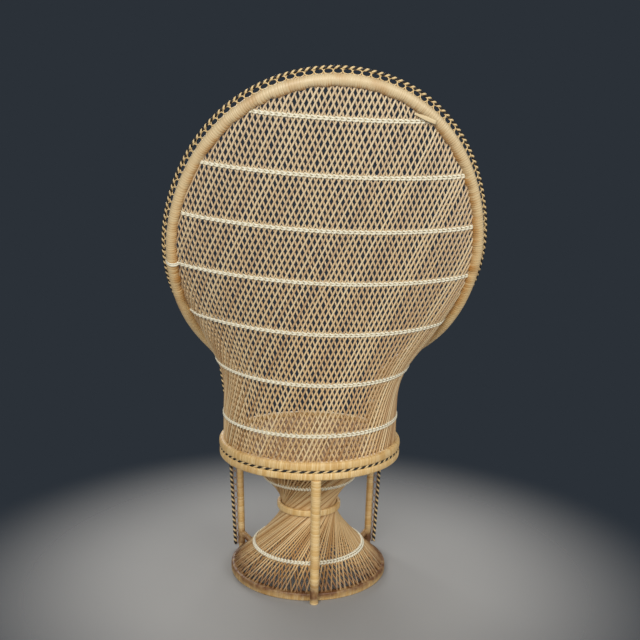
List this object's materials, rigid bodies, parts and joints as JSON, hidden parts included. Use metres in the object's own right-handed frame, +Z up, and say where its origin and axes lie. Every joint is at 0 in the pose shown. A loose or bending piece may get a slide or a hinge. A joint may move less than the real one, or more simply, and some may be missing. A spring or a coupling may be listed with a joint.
{
  "type": "peacock chair",
  "caption": "Rattan armchair with an hourglass base of crossing reeds, a round woven seat, and a barrel that opens into a tall oval fan back with looped edging.",
  "frame": {"origin": "on the floor, under the middle of the chair's bounding box", "axes": "+Z up, -Y the way the sitter faces, +X the sitter's left"},
  "size_m": [0.8686, 0.7186, 1.4475],
  "materials": {
    "peel_binding": "satin flat rattan peel wound closely round pole",
    "round_reed": "matt round rattan reed",
    "cream_cane": "matt pale twined cane",
    "two_tone_twist": "natural and black cane twisted together",
    "seat_weave": "matt woven reed"
  },
  "bodies": {
    "root": {"waist_hoop": "peel_binding", "lower_seat_hoop": "peel_binding", "upper_seat_hoop": "peel_binding", "rear_post": "peel_binding", "front_post_left": "peel_binding", "front_post_right": "peel_binding", "foot_ring_with_inner_reeds": "round_reed", "top_ring_with_outer_reeds": "round_reed", "seat_rail_1": "round_reed", "seat_rail_2": "round_reed", "seat_rail_3": "round_reed", "post_loops_left": "round_reed", "post_loops_right": "round_reed", "rim_loops": "round_reed", "rim_arm_left": "round_reed", "rim_flank_left": "round_reed", "rim_arch_left": "round_reed", "rim_arch_right": "round_reed", "rim_flank_right": "round_reed", "rim_arm_right": "round_reed", "base_band_lower": "cream_cane", "base_band_upper": "cream_cane", "shell_band_1_outer": "cream_cane", "shell_band_1_inner": "cream_cane", "shell_band_2_outer": "cream_cane", "shell_band_2_inner": "cream_cane", "shell_band_3_outer": "cream_cane", "shell_band_3_inner": "cream_cane", "shell_band_4_outer": "cream_cane", "shell_band_4_inner": "cream_cane", "shell_band_5_outer": "cream_cane", "shell_band_5_inner": "cream_cane", "shell_band_6_outer": "cream_cane", "shell_band_6_inner": "cream_cane", "shell_band_7_outer": "cream_cane", "shell_band_7_inner": "cream_cane", "seat_cord": "two_tone_twist", "post_rope_left": "two_tone_twist", "post_rope_right": "two_tone_twist", "rim_rope": "two_tone_twist", "woven_seat": "seat_weave"}
  },
  "joints": []
}
